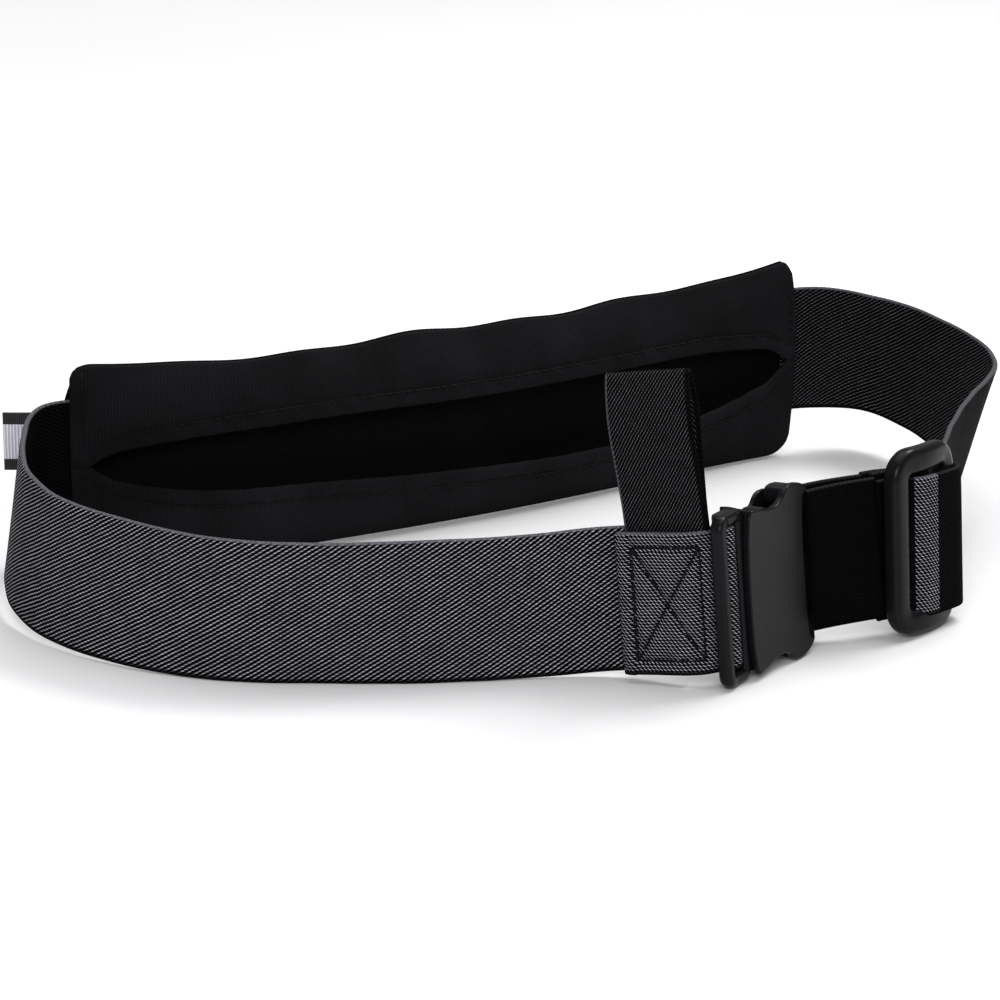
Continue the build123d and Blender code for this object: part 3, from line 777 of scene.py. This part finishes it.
def panel_mesh(kind, name, node, material, rows):
    """A closed panel of fabric with a doubled, rounded hem at its lip."""
    outer = []
    inner = []
    weave = []
    stations = list(zip(pouch_centre, pouch_outward, pouch_run, pouch_share))
    back_along = unit(pouch_centre[:1] - pouch_centre[1:2])[0]
    beyond = LEFT_TURN if kind == "back" else LEFT_SEAM
    reach = [beyond * k / 5 for k in range(5, 0, -1)]
    stations = [(pouch_centre[0] + back_along * r, pouch_outward[0], -r, 0.0) for r in reach] + stations
    for centre, outward, run, share in stations:
        beyond_share = max(0.0, -run) / beyond
        top = pouch_top(share) - LEFT_CORNER * beyond_share ** 2
        bulge = pouch_bulge(share)
        if kind == "back":
            top = top - LEFT_TURN_DROP * beyond_share
            bulge = max(EDGE_OUT, bulge * (1 - beyond_share))
        shape = panel_profile(kind, share, top, bulge)
        fine = smooth(shape, 0.25, 2)
        distance = lengths(fine)
        even = np.linspace(0, distance[-1], rows)
        n = np.interp(even, distance, fine[:, 0])
        z = np.interp(even, distance, fine[:, 1])
        tangent = unit(np.gradient(np.column_stack([n, z]), axis=0))
        normal = np.column_stack([tangent[:, 1], -tangent[:, 0]])
        if kind != "lower":
            normal = -normal
        from_lip = distance[-1] - even
        edge = np.minimum(even, from_lip)
        thick = np.full(rows, PANEL_THICK / 2)
        away_from_ends = np.sin(pi * np.clip(share, 0.03, 0.97)) ** 0.3
        shift = wrinkles(run, z, WRINKLE) * np.clip(edge / 7.0, 0, 1) * away_from_ends
        if kind != "back":
            groove = np.exp(-((from_lip - HEM) / 0.8) ** 2)
            hem = np.clip((HEM + 0.6 - from_lip) / 1.0, 0, 1)
            pucker = 0.16 * np.sin(run / 1.35 + 0.4 * from_lip) * hem
            thick = thick + 0.22 * hem - 0.28 * groove
            shift = shift + pucker
        round_off = np.sqrt(np.clip(1 - (1 - np.clip(edge / 0.7, 0, 1)) ** 2, 0.02, 1))
        thick = thick * round_off
        middle = centre[None, :] + outward[None, :] * (n + normal[:, 0] * shift)[:, None]
        middle[:, 2] = np.maximum(z + normal[:, 1] * shift, 0.5)
        spread = outward[None, :] * normal[:, :1] + np.array([0, 0, 1.0])[None, :] * normal[:, 1:]
        outer.append(middle + spread * thick[:, None])
        inner.append(middle - spread * thick[:, None])
        weave.append(np.column_stack([np.full(rows, run), even, np.ones(rows)]))
    rings = [np.vstack([a, b[::-1]]) for a, b in zip(outer, inner)]
    woven = [np.vstack([c, c[::-1] * np.array([1, 1, -1])]) for c in weave]
    ring = 2 * rows
    piece = make_piece(name, np.vstack(rings), tube_faces(len(rings), ring), np.vstack(woven), material)
    mesh = piece.data
    # inner faces get the darker knit: painted shade inside the pouch
    mesh.materials.append(SHADED_LINING)
    shaded_inner_faces = [p.index for p in mesh.polygons
             if len(p.vertices) == 4 and all(v % ring >= rows for v in p.vertices)]
    for index in shaded_inner_faces:
        mesh.polygons[index].material_index = 1
    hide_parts(node)
    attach(piece, "belt")
    return piece


panel_mesh("back", "pouch_back", "pouch_back_panel", POUCH, 72)
panel_mesh("upper", "pouch_upper", "pouch_upper_panel", POUCH, 46)
panel_mesh("lower", "pouch_lower", "pouch_lower_panel", POUCH, 46)


def on_panel(kind, run, from_lip):
    """A point on the outside of a panel, at a distance back from its lip."""
    share = run / pouch_run[-1]
    shape = panel_profile(kind, share, float(pouch_top(share)), float(pouch_bulge(share)))
    fine = smooth(shape, 0.25, 2)
    distance = lengths(fine)
    place = distance[-1] - from_lip
    n = np.interp(place, distance, fine[:, 0])
    z = np.interp(place, distance, fine[:, 1])
    outward = rows_at(run, pouch_run, pouch_outward)
    outward /= np.linalg.norm(outward)
    point = rows_at(run, pouch_run, pouch_centre) + outward * (n + PANEL_THICK / 2)
    point[2] = z
    return point, outward


def hem_thread_piece(kind, name, node):
    inset = 6.0
    paths = stitch_row(lambda s: on_panel(kind, s + inset, HEM), pouch_run[-1] - 2 * inset, pitch=3.0)
    thread_piece(name, paths, HEM_THREAD, "belt", [node])


hem_thread_piece("upper", "upper_hem_thread", "upper_hem_stitching")
hem_thread_piece("lower", "lower_hem_thread", "lower_hem_stitching")


def end_thread_piece(name, node, run, low, high):
    """A column of stitches that closes an end of the pouch."""
    centre = rows_at(run, pouch_run, pouch_centre)
    outward = rows_at(run, pouch_run, pouch_outward)
    reach = POUCH_END + PANEL_THICK / 2 + 0.35

    def point_at(s):
        return centre + outward * reach + np.array([0, 0, low + s]), outward

    thread_piece(name, stitch_row(point_at, high - low), SEAM_THREAD, "belt", [node])


end_thread_piece("left_end_thread", "left_end_stitching", STITCH_INSET, low=33.0, high=56.0)
end_thread_piece("right_end_thread", "right_end_stitching", pouch_run[-1] - STITCH_INSET,
                 low=36.0, high=56.5)


# -------------------------------- finger loop

LOOP_AT = (42.0, 2.2, 44.0)
LOOP_HEADING = -16.0
LOOP_TILT = 7.8
LOOP_TAIL = 8.0                 # sewn in between the band and its fold-back


def make_loop():
    """A teardrop of narrow elastic: rows of up and outward, swept across its width."""
    axes = hardware_axes(LOOP_AT[:2], LOOP_AT[2], LOOP_HEADING, 0.0, LOOP_TILT)
    origin, side, up, outward = (np.array(v) for v in axes)
    gap = LOOP_THICK / 2 + 0.06
    half = [(0.3, 0.5), (0.62, 1.0), (0.88, 0.7)]
    front_rows = [(-LOOP_TAIL, gap), (0.2, gap)] + [(LOOP_HEIGHT * a, LOOP_BELLY * b) for a, b in half]
    back_rows = [(a, -b) for a, b in front_rows[::-1]]
    rows = front_rows + [(LOOP_HEIGHT, 0.0)] + back_rows
    fine = smooth(rows, 0.5, 2)
    centre = origin + fine[:, :1] * up + fine[:, 1:] * outward
    along = unit(np.gradient(centre, axis=0))
    across = np.broadcast_to(-side, centre.shape)
    normal = unit(np.cross(along, across))

    def relief(run, w, face):
        return 0.12 * np.sin(run / 6.0 + w / 9.0) + 0.08 * np.sin(run / 2.3) * (abs(w) / 11) ** 3

    loop = web_mesh("finger_loop_web", centre, across, normal, LOOP_WIDTH, LOOP_THICK, LOOP, relief,
                    across=27)
    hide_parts("finger_loop", "loop_tail")
    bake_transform(loop)


make_loop()


# -------------------------------- reflective tab

RIBBON_CUTS = 16
RIBBON_BEVEL = 0.12


def plate_piece(name, low, high, material, body, nodes):
    """A thin ribbon between two corners, in millimetres, with soft edges."""
    cuts = RIBBON_CUTS
    xs = np.linspace(low[0], high[0], cuts)
    zs = np.linspace(low[2], high[2], cuts)
    vertices = []
    weave = []
    for y in (low[1], high[1]):
        for x in xs:
            for z in zs:
                wave = 0.12 * sin(x / 3.0 + z / 7.0)
                vertices.append((x, y + wave, z))
                weave.append((x, z, 1.0))
    faces = []
    side = cuts * cuts
    for i in range(cuts - 1):
        for j in range(cuts - 1):
            a = i * cuts + j
            faces.append((a, a + cuts, a + cuts + 1, a + 1))
            faces.append((side + a, side + a + 1, side + a + cuts + 1, side + a + cuts))
    rim = [i * cuts for i in range(cuts)] + [(cuts - 1) * cuts + j for j in range(1, cuts)]
    rim += [i * cuts + cuts - 1 for i in range(cuts - 2, -1, -1)] + [j for j in range(cuts - 2, 0, -1)]
    for a, b in zip(rim, rim[1:] + rim[:1]):
        faces.append((a, side + a, side + b, b))
    piece = make_piece(name, vertices, faces, weave, material)
    edges = piece.modifiers.new("soft_edges", "BEVEL")
    edges.width = RIBBON_BEVEL * MM
    edges.segments = 2
    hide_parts(*nodes)
    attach(piece, body)
    return piece


TAB_DROP = np.array([0.0, 0.0, 1.6])    # the tab hangs a little lower than its plain solid


def make_ribbon(name, node, material):
    """A ribbon of the tab, where its plain solid is."""
    low, high = (np.array(v) / MM - TAB_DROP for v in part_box(node))
    ribbon = plate_piece(name, low, high, material, "tab", [node])


make_ribbon("tab_web", "reflective_tab", TAB)
make_ribbon("stripe_web", "reflective_stripe", SILVER)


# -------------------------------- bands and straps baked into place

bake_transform(front)
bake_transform(right)
for strap in (strap_front, strap_rear):
    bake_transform(strap)


# -------------------------------- plastic parts

def rounded_box(low, high, corner, steps=9):
    """A closed outline of a rectangle with round corners, as rows of along and up."""
    centres = [(high[0] - corner, high[1] - corner), (low[0] + corner, high[1] - corner),
               (low[0] + corner, low[1] + corner), (high[0] - corner, low[1] + corner)]
    rows = []
    for quarter, (x, y) in enumerate(centres):
        for turn in np.linspace(quarter * pi / 2, (quarter + 1) * pi / 2, steps):
            rows.append((x + corner * cos(turn), y + corner * sin(turn)))
    return np.array(rows)


def soften(points, passes=3):
    """Round the corners of a closed outline by cutting them again and again."""
    points = np.array(points, float)
    for _ in range(passes):
        following = np.roll(points, -1, axis=0)
        pair = [points * 0.75 + following * 0.25, points * 0.25 + following * 0.75]
        points = np.stack(pair, 1).reshape(-1, 2)
    return points


def resample(outline, spacing=0.7):
    """The same closed outline with points at an even spacing."""
    closed = np.vstack([outline, outline[:1]])
    run = lengths(closed)
    even = np.linspace(0, run[-1], int(run[-1] / spacing), endpoint=False)
    return np.column_stack([np.interp(even, run, closed[:, 0]), np.interp(even, run, closed[:, 1])])


def outline_normals(outline):
    """Outward directions of an outline that runs anticlockwise."""
    tangent = np.roll(outline, -1, axis=0) - np.roll(outline, 1, axis=0)
    return unit(np.column_stack([tangent[:, 1], -tangent[:, 0]]))


def ring_shape(outline, half_side, depth, points=24, power=3.2):
    """A soft-edged bar swept round an outline; depth gives its back and front at each point."""
    normals = outline_normals(outline)
    vertices = []
    for place, normal in zip(outline, normals):
        back, front_side = depth(place)
        for turn in np.linspace(0, 2 * pi, points, endpoint=False):
            c, s = cos(turn), sin(turn)
            side = half_side * np.sign(c) * abs(c) ** (2 / power)
            out = (back + front_side) / 2 + (front_side - back) / 2 * np.sign(s) * abs(s) ** (2 / power)
            vertices.append((*(place + normal * side), out))
    count = len(outline)
    faces = []
    for i in range(count):
        k = (i + 1) % count
        for j in range(points):
            n = (j + 1) % points
            faces.append((i * points + j, k * points + j, k * points + n, i * points + n))
    return vertices, faces


def slab_shape(outline, back, front_side, edge=0.45, steps=4):
    """A plate with rounded edges between two outward places."""
    normals = outline_normals(outline)
    levels = [(edge * (1 - sin(t)), front_side - edge * (1 - cos(t))) for t in np.linspace(0, pi / 2, steps)]
    levels += [(edge * (1 - sin(t)), back + edge * (1 - cos(t))) for t in np.linspace(pi / 2, 0, steps)]
    count = len(outline)
    vertices = []
    for inset, out in levels:
        for place, normal in zip(outline, normals):
            vertices.append((*(place - normal * inset), out))
    faces = []
    for i in range(len(levels) - 1):
        for j in range(count):
            k = (j + 1) % count
            faces.append((i * count + j, (i + 1) * count + j, (i + 1) * count + k, i * count + k))
    faces.append(tuple(range(count)))
    last = (len(levels) - 1) * count
    faces.append(tuple(range(last, last + count))[::-1])
    return vertices, faces


def bar_shape(a, out, reach, half_side, half_out, points=20, power=2.6):
    """A straight bar up the hardware, with domed ends."""
    vertices = []
    levels = [(-1.0, 0.05), (-0.997, 0.6), (-0.985, 0.9), (-0.96, 1.0), (0.96, 1.0), (0.985, 0.9),
              (0.997, 0.6), (1.0, 0.05)]
    for up, scale in levels:
        for turn in np.linspace(0, 2 * pi, points, endpoint=False):
            c, s = cos(turn), sin(turn)
            side = half_side * scale * np.sign(c) * abs(c) ** (2 / power)
            forward = half_out * scale * np.sign(s) * abs(s) ** (2 / power)
            vertices.append((a + side, reach * up, out + forward))
    return vertices, tube_faces(len(levels), points)


def plastic_piece(name, axes, shapes, body, nodes):
    """One moulding out of several overlapping closed shapes, in hardware axes."""
    vertices = []
    faces = []
    for shape_vertices, shape_faces in shapes:
        base = len(vertices)
        vertices += [tuple(v) for v in shape_vertices]
        faces += [tuple(base + i for i in face) for face in shape_faces]
    piece = make_piece(name, in_axes(axes, vertices), faces, material=PLASTIC)
    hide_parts(*nodes)
    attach(piece, body)
    sharp = piece.modifiers.new("even_normals", "WEIGHTED_NORMAL")
    sharp.keep_sharp = True
    return piece


def male_depth(place):
    """The outer bar stands forward, clear of the webbing behind it."""
    share = np.clip((place[0] - 2.6) / 2.4, 0, 1)
    return 0.3 - 2.1 * share, 4.0 - 0.6 * share


def make_male_frame():
    """A ring that the front band turns round, with its web bar and its tongue."""
    frame_ring = ring_shape(resample(rounded_box((1.75, -21.0), (11.1, 21.0), 2.0)), 1.75, male_depth)
    inner_lip = bar_shape(4.3, 1.3, 19.4, 0.6, 1.0)
    web_bar = bar_shape(7.4, 0.0, 19.6, 0.8, 0.9)
    tongue = slab_shape(soften([(11.5, -5), (26, -5), (28, -3), (28, 3), (26, 5), (11.5, 5)], 2), -1.6, 1.6)
    plastic_piece("male_frame_shell", BUCKLE, [frame_ring, inner_lip, web_bar, tongue], "male_half",
                  ["male_frame"])


def shell_outline(mouth, drop=0.0):
    """The shell's plate: each side dips to show a prong, then rises to a rounded shoulder."""
    top = [(mouth, 22.2), (16.5, 21.2), (21.0, 19.9), (25.2, 19.7), (28.2, 20.7), (29.6, 22.4),
           (31.6, 23.6), (36.0, 23.3), (39.4, 22.0), (40.9, 20.4), (40.9, 19.4), (37.6, 19.3)]
    top = [(a, w - drop * np.clip((a - 20) / 6, 0, 1)) for a, w in top]
    bottom = [(a, -w) for a, w in top[::-1]]
    return soften(([(mouth, -21.9), (mouth, 21.9)] + top[1:] + bottom[:-1])[::-1], 2)


def make_shell():
    """Two plates with side walls between them, and the bar that the strap turns round."""
    plates = [slab_shape(shell_outline(10.2), 3.55, 5.5), slab_shape(shell_outline(12.9, 2.4), -4.9, -3.6)]
    walls = []
    for side in (1, -1):
        shoulder = [(30.2, 17.8), (30.4, 22.2), (32.0, 23.2), (36.0, 22.9), (39.2, 21.6), (40.5, 20.2),
                    (40.5, 18.9)]
        mouth = [(13.1, 17.8), (13.1, 21.7), (15.6, 21.0), (18.6, 20.3), (18.6, 17.8)]
        for wall in (shoulder, mouth):
            rows = soften([(a, side * w) for a, w in (wall[::-1] if side > 0 else wall)], 2)
            walls.append(slab_shape(rows, -3.8 if wall is mouth else -1.5, 4.2))
    bar = bar_shape(35.4, 0.0, 20.0, 1.6, 1.6, power=2.0)
    plastic_piece("female_shell_moulding", BUCKLE, plates + walls + [bar], "belt", ["female_shell"])


SLIDER_LENGTH = 28.5
SLIDER_CROWN = 2.2
SLIDER_HALF_THICK = 2.6


def slider_depth(place):
    """The rails arch outward between the two end bars."""
    crown = SLIDER_CROWN * sin(pi * np.clip(place[0] / SLIDER_LENGTH, 0, 1))
    return crown - SLIDER_HALF_THICK, crown + SLIDER_HALF_THICK


def make_slider():
    """A rounded ring with arched rails, and a bar across its middle."""
    frame_ring = ring_shape(resample(rounded_box((3.3, -21.7), (25.2, 21.7), 4.8, 14)), 3.45, slider_depth)
    centre_bar = bar_shape(SLIDER_LENGTH / 2, 0.0, 21.0, 1.5, 0.9)
    plastic_piece("slider_moulding", SLIDER, [frame_ring, centre_bar], "slider", ["slider_frame"])


def dress_cad(node, material, bevel):
    """A CAD node keeps its shape and gets rounded edges and its own finish."""
    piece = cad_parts[node]
    piece.data.materials.clear()
    piece.data.materials.append(material)
    weld = piece.modifiers.new("weld", "WELD")
    weld.merge_threshold = 0.00001
    edges = piece.modifiers.new("soft_edges", "BEVEL")
    edges.width = bevel * MM
    edges.segments = 3
    edges.limit_method = "ANGLE"
    edges.angle_limit = radians(35)
    edges.harden_normals = True


make_male_frame()
make_shell()
make_slider()
dress_cad("upper_prong", PLASTIC, 0.4)
dress_cad("lower_prong", PLASTIC, 0.4)
dress_cad("sewn_end_stitching", THREAD, 0.1)


# -------------------------------- camera, floor and light

CAMERA_AT = (-0.0028, -1.0947, 0.3517)
CAMERA_TILT = 73.0
CAMERA_LENS = 147.6

camera_data = bpy.data.cameras.new("camera")
camera = add_object("camera", camera_data)
camera.location = CAMERA_AT
camera.rotation_euler = (radians(CAMERA_TILT), 0.0, 0.0)
camera_data.sensor_width = 36.0
camera_data.lens = CAMERA_LENS
camera_data.clip_start = 0.05
camera_data.clip_end = 40.0
bpy.context.scene.camera = camera
bpy.context.scene.view_settings.view_transform = "Standard"


def floor_material():
    """Pale studio floor with a faint gloss, with painted shade greying it under the belt."""
    m = Nodes("studio_floor")
    patch = m.noise(3.0, 2.0)
    reach = m.node("ShaderNodeVectorMath", operation="LENGTH")
    m.put(m.place(), reach.inputs[0])
    # greyer within reach of the belt: painted shade cast by the belt
    away_from_painted_shade = m.step(reach.outputs["Value"], 0.15, 0.32)
    m.set(Base_Color=m.mix(away_from_painted_shade, (0.70, 0.70, 0.71, 1.0), (0.86, 0.86, 0.87, 1.0)))
    m.set(Roughness=m.step(patch, 0.3, 0.7, 0.30, 0.36))
    return m.material


def make_floor():
    size = 6.0
    corners = [(-size, -size, 0), (size, -size, 0), (size, size, 0), (-size, size, 0)]
    mesh = bpy.data.meshes.new("floor")
    mesh.from_pydata(corners, [], [(0, 1, 2, 3)])
    mesh.materials.append(floor_material())
    add_object("floor", mesh)


def area_light(name, place, target, size, power):
    data = bpy.data.lights.new(name, "AREA")
    data.shape = "RECTANGLE"
    data.size, data.size_y = size
    data.energy = power
    light = add_object(name, data)
    light.location = place
    light.rotation_mode = "QUATERNION"
    light.rotation_quaternion = (Vector(target) - Vector(place)).to_track_quat("-Z", "Y")


WORLD_STRENGTH = 0.3
SKY_STRENGTH = 2.45


def make_lights():
    world = bpy.data.worlds.new("studio")
    bpy.context.scene.world = world
    world.use_nodes = True
    background = world.node_tree.nodes["Background"]
    background.inputs["Color"].default_value = (1.0, 1.0, 1.0, 1.0)
    background.inputs["Strength"].default_value = WORLD_STRENGTH
    sky = bpy.data.lights.new("sky", "SUN")
    sky.energy = SKY_STRENGTH
    sky.angle = radians(70)
    sky_object = add_object("sky", sky)
    sky_object.rotation_euler = (radians(-12), radians(6), 0)
    area_light("key", (0.0, -1.3, 0.75), target=(0.0, -0.1, 0.02), size=(0.8, 0.5), power=13.0)
    area_light("strip", (0.45, 0.3, 0.8), target=(0.08, -0.05, 0.03), size=(0.5, 0.25), power=6.0)


make_floor()
make_lights()
